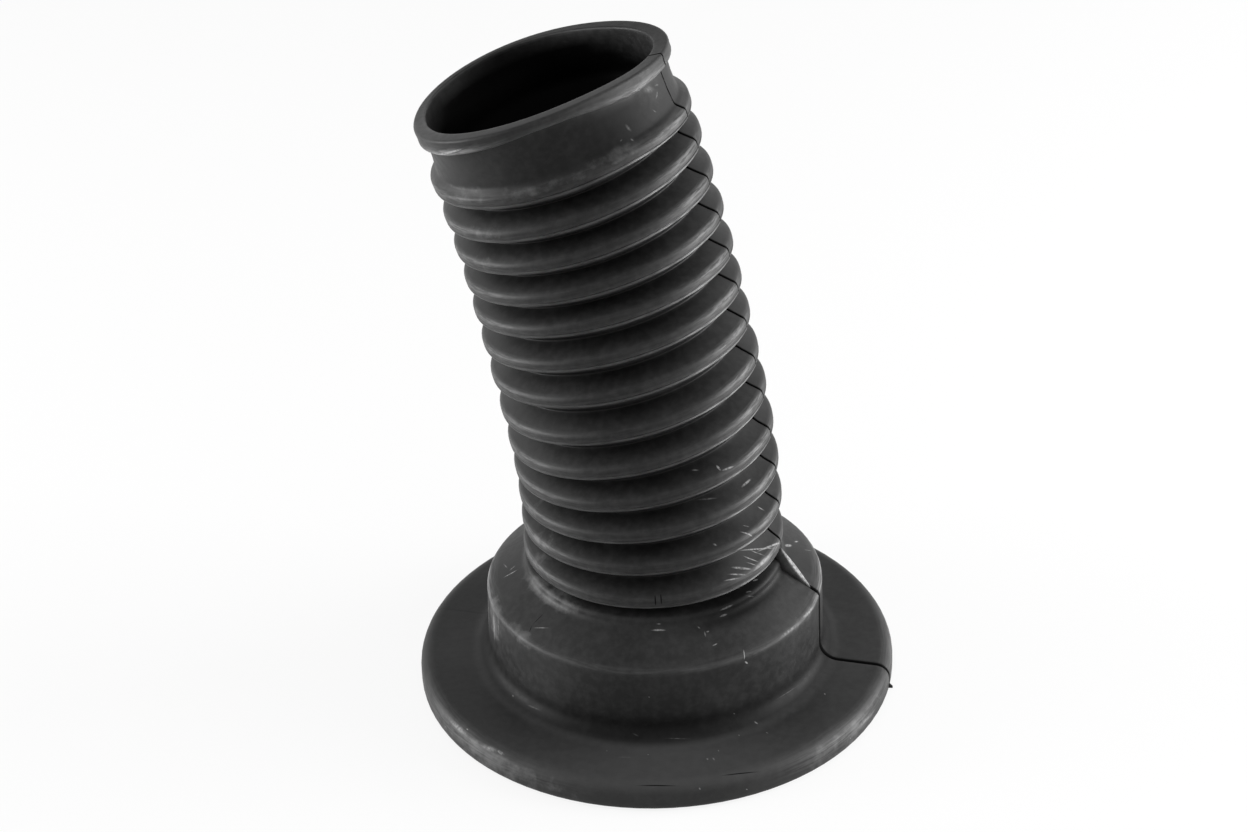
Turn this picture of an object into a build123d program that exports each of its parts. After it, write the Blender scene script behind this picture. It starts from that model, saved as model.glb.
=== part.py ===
from build123d import *
import math
import os

# Rubber bellows boot: one moulding with a flange, a hollow hub with a sloping shoulder, thirteen
# folds along a bent tube, and a plain collar with a lip bead round the open mouth.
#
# Millimetres, +Z up. The origin is the centre of the flange's flat underside. The tube leaves the
# shoulder upright, then leans towards -X, because the soft folds have taken a set.

# Flange: the flat seat that a coil spring or a top mount clamps.
FLANGE_DIAMETER = 140.0
FLANGE_THICKNESS = 8.3
RIM_ROUND = 2.8
SEAT_EDGE_ROUND = 0.8

# Hub: the hollow drum that stands on the flange and centres the spring.
HUB_DIAMETER = 97.8
HUB_HEIGHT = 30.8
HUB_DRAFT_ANGLE = 1.5
HUB_WALL = 4.0
HUB_FILLET = 5.0
HUB_EDGE_ROUND = 1.6

# Shoulder: the cone from the hub's edge up to the foot of the folds.
SHOULDER_ANGLE = 33.5
ROOT_RING_HEIGHT = 2.2
ROOT_RING_ROUND = 0.7
ROOT_VALLEY_WIDTH = 3.75

# Folds: rings of one pitch, a little smaller towards the mouth, above a slightly wider first one.
# Each crest is a narrow land that ends in a lip below and rolls over into the flank above, and each
# valley is a deep V. Inside, a smooth funnel takes the place of the two highest folds.
FOLD_COUNT = 13
FOLD_PITCH = 10.4
FIRST_PITCH = 11.1
FOOT_CREST_DIAMETER = 75.0
TOP_CREST_DIAMETER = 72.0
FOLD_DEPTH = 5.6
CREST_LIP_DROP = 1.65
CREST_ROLL_FOOT = 0.6
CREST_ROLL = 3.2
CREST_ROLL_ANGLE = 57.0
CREST_WALL = 2.5
VALLEY_WALL = 3.0
INNER_BULGE = 0.4
SMOOTH_FOLDS = 2
FUNNEL_WALL = 2.0

# Web: the thin fin that stands between the shoulder and the foot crest, where the mould parted.
WEB_THICKNESS = 1.4
WEB_REACH = 8.5
WEB_AZIMUTH = -15.5

# Collar: the waisted band that a clip tightens on, with the lip bead above it.
MOUTH_BORE = 63.7
COLLAR_FOOT_RISE = 1.4
COLLAR_FLARE_HEIGHT = 2.4
NECK_WALL = 2.0
NECK_HEIGHT = 7.7
NECK_WAIST_DEPTH = 0.35
LIP_DIAMETER = 72.0
LIP_HEIGHT = 5.0
LIP_ROUND = 1.7
LIP_INNER_ROUND = 0.5

# Set of the tube: how far its axis has turned from upright, in degrees, at the foot crest, a third
# and two thirds of the way up the folds, and the top crest.
LEAN_ANGLES = (0.0, 10.2, 11.9, 16.5)
NOD_ANGLES = (0.0, 1.5, 4.0, 0.0)
AXIS_STEP = 1.0

# Sizes that follow from those above.
FOLD_LENGTH = FIRST_PITCH + (FOLD_COUNT - 2) * FOLD_PITCH
CREST_RADIUS = FOOT_CREST_DIAMETER / 2
VALLEY_RADIUS = CREST_RADIUS - FOLD_DEPTH
FOOT_BORE_RADIUS = VALLEY_RADIUS - VALLEY_WALL
SHOULDER_RISE = (HUB_DIAMETER / 2 - CREST_RADIUS) * math.tan(math.radians(SHOULDER_ANGLE))
ROOT_TOP = HUB_HEIGHT + SHOULDER_RISE + ROOT_RING_HEIGHT
FOOT_CREST_HEIGHT = ROOT_TOP + ROOT_VALLEY_WIDTH + CREST_LIP_DROP
ROOT_DISTANCE = -CREST_LIP_DROP - ROOT_VALLEY_WIDTH
COLLAR_DISTANCE = FOLD_LENGTH + COLLAR_FOOT_RISE
FUNNEL_RADIUS = TOP_CREST_DIAMETER / 2 - FOLD_DEPTH - FUNNEL_WALL

def angle_at(share, angles):
    """Angle at a share of the folds' length, in straight steps between evenly spaced angles."""
    spans = len(angles) - 1
    position = min(max(share, 0.0), 1.0) * spans
    below = min(int(position), spans - 1)
    return angles[below] + (angles[below + 1] - angles[below]) * (position - below)

def heading(distance):
    """Direction of the tube's axis, at a distance along it from the foot crest."""
    share = distance / FOLD_LENGTH
    across = -math.sin(math.radians(angle_at(share, LEAN_ANGLES)))
    back = math.sin(math.radians(angle_at(share, NOD_ANGLES)))
    return Vector(across, back, math.sqrt(1 - across**2 - back**2))

def axis_plane(distance):
    """Plane square to the axis, centred on it, at a distance along it from the foot crest."""
    steps = max(1, math.ceil(abs(distance) / AXIS_STEP))
    step = distance / steps
    centre = Vector(0, 0, FOOT_CREST_HEIGHT)
    for count in range(steps):
        centre += heading((count + 0.5) * step) * step
    direction = heading(distance)
    return Plane(origin=centre, x_dir=Vector(0, 1, 0).cross(direction), z_dir=direction)

def crest_distance(fold):
    """Distance of a crest along the axis from the foot crest, which is fold 0."""
    return FIRST_PITCH + (fold - 1) * FOLD_PITCH if fold else 0.0

def crest_radius(distance):
    """Outer radius of a crest, which shrinks evenly from the foot crest to the top crest."""
    return CREST_RADIUS + (TOP_CREST_DIAMETER / 2 - CREST_RADIUS) * distance / FOLD_LENGTH

def loft_rings(rings):
    """Solid through circles, given as (distance along the axis, radius), with straight sides."""
    return loft([axis_plane(distance) * Circle(radius) for distance, radius in rings], ruled=True)

def eased(corners):
    """Points of a section whose corners are (radius, height, size of round), each round as two flats."""
    points = []
    for index, (radius, height, rounding) in enumerate(corners):
        corner = Vector(radius, height)
        if not rounding:
            points.append(corner)
            continue
        before = (Vector(*corners[index - 1][:2]) - corner).normalized()
        after = (Vector(*corners[(index + 1) % len(corners)][:2]) - corner).normalized()
        half_angle = math.radians(before.get_angle(after) / 2)
        inward = (before + after).normalized()
        reach = rounding / math.tan(half_angle)
        depth = rounding / math.sin(half_angle) - rounding
        points += [corner + before * reach, corner + inward * depth, corner + after * reach]
    return points

def turned(corners):
    """Ring turned about Z from a section, given as (radius, height, size of the corner's round)."""
    section = make_face(Polyline(*eased(corners), close=True))
    return revolve(Plane.XZ * section, Axis.Z)

def crest_rings(centre, crest):
    """Rings of a crest: the lip, the land above it, and the roll over into the upper flank."""
    rings = [(centre - CREST_LIP_DROP, crest), (centre - CREST_ROLL_FOOT, crest)]
    for turn in (CREST_ROLL_ANGLE / 2, CREST_ROLL_ANGLE):
        rise = CREST_ROLL * math.sin(math.radians(turn)) - CREST_ROLL_FOOT
        drop = CREST_ROLL * (1 - math.cos(math.radians(turn)))
        rings.append((centre + rise, crest - drop))
    return rings

def outer_rings():
    """Rings of the folds' outside, from the top of the root ring to the top crest."""
    rings = [(ROOT_DISTANCE, CREST_RADIUS - ROOT_RING_ROUND)]
    rings.append((ROOT_DISTANCE + ROOT_VALLEY_WIDTH / 2, VALLEY_RADIUS))
    for fold in range(FOLD_COUNT):
        centre = crest_distance(fold)
        crest = crest_radius(centre)
        if fold > 0:
            rings.append(((crest_distance(fold - 1) + centre) / 2, crest - FOLD_DEPTH))
        if fold < FOLD_COUNT - 1:
            rings += crest_rings(centre, crest)
    rings.append((FOLD_LENGTH - CREST_LIP_DROP, TOP_CREST_DIAMETER / 2))
    rings.append((COLLAR_DISTANCE, TOP_CREST_DIAMETER / 2))
    return rings

def inner_rings():
    """Rings of the folds' inside, one wall in from the outside, and of the funnel above them."""
    rings = [(ROOT_DISTANCE, FOOT_BORE_RADIUS)]
    rings.append((ROOT_DISTANCE + ROOT_VALLEY_WIDTH / 2, FOOT_BORE_RADIUS))
    for fold in range(FOLD_COUNT - SMOOTH_FOLDS):
        centre = crest_distance(fold)
        crest = crest_radius(centre) - CREST_WALL
        bore = crest_radius(centre) - FOLD_DEPTH - VALLEY_WALL
        flank = (crest + bore) / 2 + INNER_BULGE
        if fold > 0:
            rings.append(((crest_distance(fold - 1) + centre) / 2, bore))
            rings.append((centre - FOLD_PITCH / 4, flank))
        rings.append((centre, crest))
        rings.append((centre + FOLD_PITCH / 4, flank))
    rings.append((centre + FOLD_PITCH / 2, bore))
    rings.append((FOLD_LENGTH - FOLD_PITCH / 2, FUNNEL_RADIUS))
    rings.append((COLLAR_DISTANCE, MOUTH_BORE / 2))
    return rings

def make_base():
    """Flange, hub, shoulder and root ring, all round the upright axis."""
    rim = FLANGE_DIAMETER / 2
    hub = HUB_DIAMETER / 2
    draft = (HUB_HEIGHT - FLANGE_THICKNESS) * math.tan(math.radians(HUB_DRAFT_ANGLE))
    cavity = hub - HUB_WALL
    slope = math.tan(math.radians(SHOULDER_ANGLE))
    drop = HUB_WALL / math.cos(math.radians(SHOULDER_ANGLE))
    return turned([
        (cavity, 0, 0),
        (rim, 0, SEAT_EDGE_ROUND),
        (rim, FLANGE_THICKNESS, RIM_ROUND),
        (hub + draft, FLANGE_THICKNESS, HUB_FILLET),
        (hub, HUB_HEIGHT, HUB_EDGE_ROUND),
        (CREST_RADIUS, HUB_HEIGHT + SHOULDER_RISE, 0),
        (CREST_RADIUS, ROOT_TOP - ROOT_RING_ROUND, 0),
        (CREST_RADIUS - ROOT_RING_ROUND, ROOT_TOP, 0),
        (FOOT_BORE_RADIUS, ROOT_TOP, 0),
        (FOOT_BORE_RADIUS, HUB_HEIGHT + (hub - FOOT_BORE_RADIUS) * slope - drop, 0),
        (cavity, HUB_HEIGHT + (hub - cavity) * slope - drop, 0),
    ])

def make_web():
    """Fin across the first valley, from the foot crest down to the shoulder."""
    foot = CREST_RADIUS + WEB_REACH
    slope = math.tan(math.radians(SHOULDER_ANGLE))
    shoulder = HUB_HEIGHT + (HUB_DIAMETER / 2 - foot) * slope
    outline = Polyline(
        (VALLEY_RADIUS - 0.5, ROOT_TOP + ROOT_VALLEY_WIDTH / 2),
        (CREST_RADIUS - 0.2, FOOT_CREST_HEIGHT - CREST_LIP_DROP + 0.4),
        (foot, shoulder - 0.3),
        (CREST_RADIUS - 0.5, HUB_HEIGHT + SHOULDER_RISE - 2.0),
        (VALLEY_RADIUS - 0.5, ROOT_TOP - 1.0),
        close=True,
    )
    upright = Plane.XZ * make_face(outline)
    return Rot(0, 0, WEB_AZIMUTH) * extrude(upright, WEB_THICKNESS / 2, both=True)

def make_folds():
    """The thirteen folds as one thin folded wall along the bent axis."""
    return loft_rings(outer_rings()) - loft_rings(inner_rings())

def make_collar():
    """Flared neck and lip bead, round the axis as it stands at the top crest."""
    bore = MOUTH_BORE / 2
    neck = bore + NECK_WALL
    lip_foot = COLLAR_FLARE_HEIGHT + NECK_HEIGHT
    lip_top = lip_foot + LIP_HEIGHT
    collar = turned([
        (bore, 0, 0),
        (TOP_CREST_DIAMETER / 2, 0, 0),
        (neck, COLLAR_FLARE_HEIGHT, 0),
        (neck - NECK_WAIST_DEPTH, COLLAR_FLARE_HEIGHT + NECK_HEIGHT / 2, 0),
        (neck, lip_foot, 0),
        (LIP_DIAMETER / 2, lip_foot, LIP_ROUND),
        (LIP_DIAMETER / 2, lip_top, LIP_ROUND),
        (bore, lip_top, LIP_INNER_ROUND),
    ])
    return axis_plane(COLLAR_DISTANCE).location * collar

def make_boot():
    """The whole moulding as one solid."""
    return make_base() + make_folds() + make_collar() + make_web()

os.makedirs("parts", exist_ok=True)
boot = make_boot()
boot.label = "bellows_boot"
export_step(boot, "parts/bellows_boot.step")
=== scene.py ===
"""Looks of a moulded rubber bellows boot.

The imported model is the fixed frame. One closed skin stands for its single solid, with the rounds,
grooves and parting line that the solid leaves out. Sizes are in millimetres until a mesh is made,
azimuths go from +X towards +Y, and every piece stays inside the solid's box.
"""

import logging
import math
from dataclasses import dataclass, field, replace
from enum import Enum
from typing import Any, Sequence

import bpy
import numpy as np
from mathutils import Matrix, Vector

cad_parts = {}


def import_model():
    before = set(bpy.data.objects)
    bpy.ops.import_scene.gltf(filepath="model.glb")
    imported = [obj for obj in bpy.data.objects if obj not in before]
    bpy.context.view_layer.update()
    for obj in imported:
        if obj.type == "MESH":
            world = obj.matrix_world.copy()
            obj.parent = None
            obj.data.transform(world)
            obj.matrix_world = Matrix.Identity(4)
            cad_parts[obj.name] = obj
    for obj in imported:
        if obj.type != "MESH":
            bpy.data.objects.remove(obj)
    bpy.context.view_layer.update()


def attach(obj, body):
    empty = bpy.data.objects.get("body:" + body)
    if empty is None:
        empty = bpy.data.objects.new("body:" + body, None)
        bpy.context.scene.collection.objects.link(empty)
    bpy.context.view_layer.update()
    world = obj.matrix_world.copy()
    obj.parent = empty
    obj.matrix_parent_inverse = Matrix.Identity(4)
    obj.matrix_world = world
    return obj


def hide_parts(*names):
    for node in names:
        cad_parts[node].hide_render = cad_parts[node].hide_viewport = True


LOG = logging.getLogger("bellows_boot")
MM = 0.001
BODY = "root"
NODE = "bellows_boot"
SKIN_MAP = "skin_mm"

# Heights along the tube are counted from the foot crest, which stands this far over the seat.
FOOT_CREST = 45.9448
FIRST_PITCH = 11.1
PITCH = 10.4
FOLD_LENGTH = 125.5
PARTING_AZIMUTH = -15.5


class Side(Enum):
    """Which side of the moulding a stretch of the skin is on."""

    OUTSIDE = 1.0
    INSIDE = 0.0


def smooth_step(value: Any, low: float, high: float) -> Any:
    """Eased ramp.

    Args:
        value: A number or an array.
        low: Where the ramp starts at 0.
        high: Where it ends at 1.

    Returns:
        The eased share, with the shape of value.
    """
    share = np.clip((np.asarray(value, float) - low) / (high - low), 0.0, 1.0)
    return share * share * (3.0 - 2.0 * share)


def bell(value: Any, middle: float, half: float) -> Any:
    """A soft bump that is 1 at its middle and a third of that at its half width."""
    return np.exp(-(((value - middle) / half) ** 2))


@dataclass(frozen=True)
class Span:
    """A soft stretch: where it starts and is full, then where it fades and has ended."""

    start: float
    full: float
    fade: float
    end: float

    def share(self, value: Any) -> Any:
        """How much of the stretch each value has, from 0 to 1."""
        return smooth_step(value, self.start, self.full) * (1 - smooth_step(value, self.fade, self.end))


@dataclass(frozen=True)
class Lobe:
    """A soft stretch of the way round: its middle and half width in degrees, and its strength."""

    middle: float
    half: float
    strength: float = 1.0

    def share(self, degrees: np.ndarray) -> np.ndarray:
        """How strong the lobe is at each azimuth."""
        return self.strength * bell(degrees, self.middle, self.half)


@dataclass(frozen=True)
class Corner:
    """A corner of the section: radius from the axis and height along it from the foot crest, in mm.

    Rounding is the radius of its round in mm, and the share after it how pale its edge is painted, from 0 to
    1: wear, and partly a painted highlight where the lamps glint.
    """

    radius: float
    along: float
    rounding: float = 0.0
    wear_and_glint: float = 0.0
    side: Side = Side.OUTSIDE


def lowered(corner: Corner) -> Corner:
    """A corner whose height is over the seat, with its height along the axis instead."""
    return replace(corner, along=corner.along - FOOT_CREST)


@dataclass(frozen=True)
class Section:
    """The section's points in order round the wall, one ring of the skin for each.

    Fields: radius and along in mm, the edge's paleness from 0 to 1 (wear, and partly a painted
    highlight), outside 1 or 0, and run, the distance travelled over the wall in mm.
    """

    radius: np.ndarray
    along: np.ndarray
    wear_and_glint: np.ndarray
    outside: np.ndarray
    run: np.ndarray


@dataclass
class SectionMaker:
    """Turns a closed list of corners into the section's points."""

    arc_turn: float = 21.0
    arc_step: float = 0.9
    edge_share: float = 0.48
    flat_turn: float = 89.5
    first_step: float = 0.7
    shortest_steps: float = 2.2
    longest_outside: float = 2.6
    longest_inside: float = 4.2
    wear_and_glint_reach: float = 1.0

    def arc(self, before: np.ndarray, corner: Corner, after: np.ndarray) -> list[np.ndarray]:
        """Points of one corner's round.

        Args:
            before: Radius and height of the corner before.
            corner: The corner itself.
            after: Radius and height of the corner after.

        Returns:
            The round's points in order, or the corner alone where it is sharp.
        """
        here = np.array([corner.radius, corner.along])
        back, ahead = before - here, after - here
        back_length, ahead_length = np.linalg.norm(back), np.linalg.norm(ahead)
        back, ahead = back / back_length, ahead / ahead_length
        half = math.acos(float(np.clip(back @ ahead, -1, 1))) / 2
        if corner.rounding <= 0 or half > math.radians(self.flat_turn):
            return [here]
        room = self.edge_share * min(back_length, ahead_length)
        reach = min(corner.rounding / math.tan(half), room)
        size = reach * math.tan(half)
        inward = back + ahead
        centre = here + inward / np.linalg.norm(inward) * size / math.sin(half)
        turn = math.pi - 2 * half
        by_turn, by_length = math.degrees(turn) / self.arc_turn, size * turn / self.arc_step
        count = max(1, math.ceil(by_turn), math.ceil(by_length))
        start, end = here + back * reach - centre, here + ahead * reach - centre
        shares = np.linspace(0.0, 1.0, count + 1)
        return [
            centre + (math.sin((1 - s) * turn) * start + math.sin(s * turn) * end) / math.sin(turn)
            for s in shares
        ]

    def straight(self, start: np.ndarray, end: np.ndarray, side: Side) -> list[np.ndarray]:
        """Points strictly between two rounds, closer together next to them.

        Args:
            start: The last point of the round before.
            end: The first point of the round after.
            side: The side of the moulding, which sets how far apart the points may be.

        Returns:
            The points in order, or none where the stretch is short.
        """
        length = float(np.linalg.norm(end - start))
        longest = self.longest_outside if side is Side.OUTSIDE else self.longest_inside
        if length < self.shortest_steps * self.first_step:
            return []
        near = self.first_step / length
        inner = max(1, math.ceil((length - 2 * self.first_step) / longest))
        return [start + (end - start) * s for s in np.linspace(near, 1 - near, inner + 1)]

    def make(self, corners: Sequence[Corner]) -> Section:
        """Rounds the corners, divides the straights, and spreads the paleness of wear and painted highlight
        from the edges.

        Args:
            corners: The wall's corners in order, round the closed section.

        Returns:
            The section's points.
        """
        flat = [np.array([c.radius, c.along]) for c in corners]
        count = len(corners)
        arcs = [
            self.arc(flat[k - 1], corners[k], flat[(k + 1) % count]) for k in range(count)
        ]
        points: list[np.ndarray] = []
        sides: list[float] = []
        peaks: list[tuple[np.ndarray, float]] = []
        for k, corner in enumerate(corners):
            points += arcs[k]
            sides += [corner.side.value] * len(arcs[k])
            peaks.append((arcs[k][len(arcs[k]) // 2], corner.wear_and_glint))
            ahead = corners[(k + 1) % count]
            side = Side.OUTSIDE if corner.side is ahead.side is Side.OUTSIDE else Side.INSIDE
            between = self.straight(arcs[k][-1], arcs[(k + 1) % count][0], side)
            points += between
            sides += [side.value] * len(between)
        place = np.array(points)
        wear_and_glint = np.zeros(len(place))
        for peak, amount in peaks:
            if amount > 0:
                far = np.linalg.norm(place - peak, axis=1) / self.wear_and_glint_reach
                wear_and_glint = np.maximum(wear_and_glint, amount * np.exp(-far * far))
        steps = np.linalg.norm(np.roll(place, -1, axis=0) - place, axis=1)
        run = np.concatenate([[0.0], np.cumsum(steps)])
        return Section(place[:, 0], place[:, 1], wear_and_glint, np.array(sides), run)


@dataclass
class TubeAxis:
    """The bent axis that the folds are strung on.

    It stands upright up to the foot crest, leans towards -X by evenly spaced angles up the folds,
    and is straight again above the top crest. The rings sag a little further than the axis leans.
    """

    lean: tuple[float, ...] = (0.0, 10.2, 11.9, 16.5)
    nod: tuple[float, ...] = (0.0, 1.5, 4.0, 0.0)
    sag: float = 1.2
    sag_span: Span = Span(-4.4, -1.6, 126.9, 134.0)
    step: float = 0.5
    above: float = 40.0
    crest_half: float = 2.9

    def heading(self, distance: np.ndarray) -> np.ndarray:
        """Direction of the axis at each distance from the foot crest.

        Args:
            distance: Distances in mm.

        Returns:
            One direction a row.
        """
        share = np.clip(distance / FOLD_LENGTH, 0.0, 1.0)
        stops = np.linspace(0.0, 1.0, len(self.lean))
        across = -np.sin(np.radians(np.interp(share, stops, self.lean)))
        back = np.sin(np.radians(np.interp(share, stops, self.nod)))
        return np.stack([across, back, np.sqrt(1 - across**2 - back**2)], axis=-1)

    def centre(self, distance: np.ndarray) -> np.ndarray:
        """Points of the axis at each distance from the foot crest.

        Args:
            distance: Distances in mm, below 0 for the base.

        Returns:
            One point a row, in mm.
        """
        grid = np.arange(0.0, FOLD_LENGTH + self.above, self.step)
        moves = self.heading(grid + self.step / 2) * self.step
        track = np.vstack([np.zeros(3), np.cumsum(moves, axis=0)])[: len(grid)]
        track[:, 2] += FOOT_CREST
        above = np.stack([np.interp(distance, grid, track[:, k]) for k in range(3)], axis=-1)
        below = np.array([0.0, 0.0, 1.0]) * np.minimum(distance, 0.0)[..., None]
        return above + below

    def axes(self, distance: np.ndarray, sag: np.ndarray) -> tuple[np.ndarray, ...]:
        """Directions of the ring plane.

        Args:
            distance: Distances of the rings along the axis, in mm.
            sag: How much further each ring leans than the axis, in radians.

        Returns:
            The directions across, back and along, each with a last axis of three.
        """
        along = self.heading(distance)
        across = np.cross([0.0, 1.0, 0.0], along)
        across /= np.linalg.norm(across, axis=-1, keepdims=True)
        back = np.cross(along, across)
        cosine, sine = np.cos(sag)[..., None], np.sin(sag)[..., None]
        return across * cosine + along * sine, back, along * cosine - across * sine

    def bend(self, radius: np.ndarray, along: np.ndarray, azimuth: np.ndarray) -> np.ndarray:
        """Places points of the straight tube on the bent one.

        A crest stays flat in its own plane, and the flanks between two crests fan out.

        Args:
            radius: Distance from the axis in mm.
            along: Height along the axis from the foot crest in mm.
            azimuth: Angle round the axis in radians, from +X towards +Y.

        Returns:
            Points in mm, on a last axis of three.
        """
        nearest = FIRST_PITCH + np.round((along - FIRST_PITCH) / PITCH) * PITCH
        nearest = np.clip(nearest, FIRST_PITCH, FOLD_LENGTH)
        crest = np.where(along < FIRST_PITCH / 2, 0.0, nearest)
        rise = along - crest
        fan = smooth_step(np.abs(rise), self.crest_half, PITCH / 2)
        fan = np.where((along < 0) | (along > FOLD_LENGTH), 0.0, fan)
        sag = self.sag_span.share(along) * math.radians(self.sag)
        cosine, sine = np.cos(azimuth)[..., None], np.sin(azimuth)[..., None]
        ways = []
        for distance, height in ((crest, rise), (along, np.zeros_like(along))):
            across, back, up = self.axes(distance, sag)
            spoke = across * cosine + back * sine
            ways.append(self.centre(distance) + spoke * radius[..., None] + up * height[..., None])
        flat, fanned = ways
        return flat + (fanned - flat) * fan[..., None]


@dataclass(frozen=True)
class Base:
    """Flange, hollow hub, sloping shoulder and root ring, all upright.

    Its corners are listed with their heights over the seat.
    """

    seat: Corner = Corner(44.9, 0.0, 0.5)
    seat_edge: Corner = Corner(70.0, 0.0, 1.4, 0.25)
    rim: Corner = Corner(70.0, 8.3, 4.6, 0.12)
    hub_foot: Corner = Corner(49.49, 8.3, 5.6)
    hub: Corner = Corner(48.9, 30.8, 1.5, 0.55)
    root_foot: Corner = Corner(37.6, 38.35, 2.4)
    root_top: Corner = Corner(37.5, 40.545, 1.6)
    throat_top: Corner = Corner(28.9, 42.5448, 0.0, 0.0, Side.INSIDE)
    throat: Corner = Corner(28.9, 39.24, 1.5, 0.0, Side.INSIDE)
    cavity: Corner = Corner(44.9, 28.65, 2.0, 0.0, Side.INSIDE)

    def outside(self) -> list[Corner]:
        """Corners from the seat's inner edge up to the root ring's top."""
        flange = (self.seat, self.seat_edge, self.rim, self.hub_foot)
        return [lowered(corner) for corner in (*flange, self.hub, self.root_foot, self.root_top)]

    def inside(self) -> list[Corner]:
        """Corners from the folds' foot down the throat and the hub's pocket."""
        return [lowered(corner) for corner in (self.throat_top, self.throat, self.cavity)]


@dataclass(frozen=True)
class Folds:
    """Thirteen folds: a rolled crest with a soft land for each, on sharp deep valleys.

    The crests stand a little above or below their even places, as the set tube has left them. A
    fine groove runs round each crest, between its lip and its roll.
    """

    count: int = 13
    foot_radius: float = 37.5
    top_radius: float = 36.0
    depth: float = 5.6
    foot_valley: float = -3.4
    foot_valley_round: float = 0.3
    valley_round: float = 0.4
    rises: tuple[float, ...] = (0.1, -0.1, -0.1, -0.2, -0.1, 0.0, 0.8, 0.9, 0.5, 0.2, 0.0, -0.1, 0.2)
    lip_foot: float = 1.65
    lip_in: float = 0.1
    lip_round: float = 0.45
    # How pale the crest's lower lip and its roll are painted: wear, and a painted highlight where the lamps
    # glint on them.
    lip_wear_and_glint: float = 0.9
    groove_foot: float = 0.92
    groove_half: float = 0.18
    groove: float = 0.26
    groove_edge: float = 0.12
    groove_round: float = 0.08
    roll_top: float = 1.14
    roll: float = 3.2
    roll_wear_and_glint: float = 0.25
    crest_wall: float = 2.5
    valley_wall: float = 3.0
    inner_bulge: float = 0.4
    inner_rise: float = 2.6
    bore_round: float = 0.8
    flank_round: float = 1.0
    hollow_round: float = 1.4
    smooth_folds: int = 2
    funnel_wall: float = 2.0
    funnel_round: float = 4.0

    def crest(self, fold: float) -> float:
        """Outer radius of a crest, counted from the foot."""
        return self.foot_radius + (self.top_radius - self.foot_radius) * fold / (self.count - 1)

    def middle(self, fold: int) -> float:
        """Height of a crest's middle along the axis."""
        even = FIRST_PITCH + (fold - 1) * PITCH if fold else 0.0
        return even + self.rises[fold]

    def outside(self) -> list[Corner]:
        """Lists the corners of the folds' outside.

        Returns:
            Corners from the valley under the foot crest up to the top crest's land.
        """
        corners = [Corner(self.foot_radius - self.depth, self.foot_valley, self.foot_valley_round)]
        for fold in range(self.count):
            middle, crest = self.middle(fold), self.crest(fold)
            groove = middle - self.groove_foot
            if fold:
                valley = (self.middle(fold - 1) + middle) / 2
                corners.append(Corner(crest - self.depth, valley, self.valley_round))
            corners += [
                Corner(crest - self.lip_in, middle - self.lip_foot, self.lip_round, self.lip_wear_and_glint),
                Corner(crest, groove - self.groove_half, self.groove_edge),
                Corner(crest - self.groove, groove, self.groove_round),
                Corner(crest, groove + self.groove_half, self.groove_edge),
                Corner(crest, middle + self.roll_top, self.roll, self.roll_wear_and_glint),
            ]
        return corners

    def inside(self) -> list[Corner]:
        """Lists the corners of the folds' inside.

        Returns:
            Corners from the funnel under the mouth down.
        """
        highest = self.count - 1
        valley = (self.middle(highest - 1) + self.middle(highest)) / 2
        rows = [(self.top_radius - self.depth - self.funnel_wall, valley, self.funnel_round)]
        for fold in reversed(range(self.count - self.smooth_folds)):
            middle, crest = self.middle(fold), self.crest(fold)
            hollow, bore = crest - self.crest_wall, crest - self.depth - self.valley_wall
            flank = (hollow + bore) / 2 + self.inner_bulge
            rows += [
                (bore, (middle + self.middle(fold + 1)) / 2, self.bore_round),
                (flank, middle + self.inner_rise, self.flank_round),
                (hollow, middle, self.hollow_round),
            ]
            if fold:
                rows.append((flank, middle - self.inner_rise, self.flank_round))
        return [Corner(*row, 0.0, Side.INSIDE) for row in rows]


@dataclass(frozen=True)
class Collar:
    """Flared foot, waisted neck and lip bead round the open mouth, by its corners."""

    flare: Corner = Corner(35.2, 127.4, 0.6, 0.5)
    neck_foot: Corner = Corner(33.75, 128.7, 1.4)
    waist: Corner = Corner(33.6, 132.6, 6.0)
    neck_top: Corner = Corner(34.0, 138.2, 0.4)
    lip_foot: Corner = Corner(35.9, 138.5, 0.9, 0.6)
    bead: Corner = Corner(35.75, 140.075, 2.0)
    lip_top: Corner = Corner(36.0, 141.95, 1.5, 0.3)
    mouth: Corner = Corner(31.7, 141.95, 0.6, 0.45)
    bore_foot: Corner = Corner(31.7, 126.9, 6.0, 0.0, Side.INSIDE)

    def outside(self) -> list[Corner]:
        """Corners from the top crest up over the lip to the mouth."""
        neck = (self.flare, self.neck_foot, self.waist, self.neck_top)
        return [*neck, self.lip_foot, self.bead, self.lip_top, self.mouth]

    def inside(self) -> list[Corner]:
        """The corner at the foot of the mouth's smooth bore."""
        return [self.bore_foot]


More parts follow.
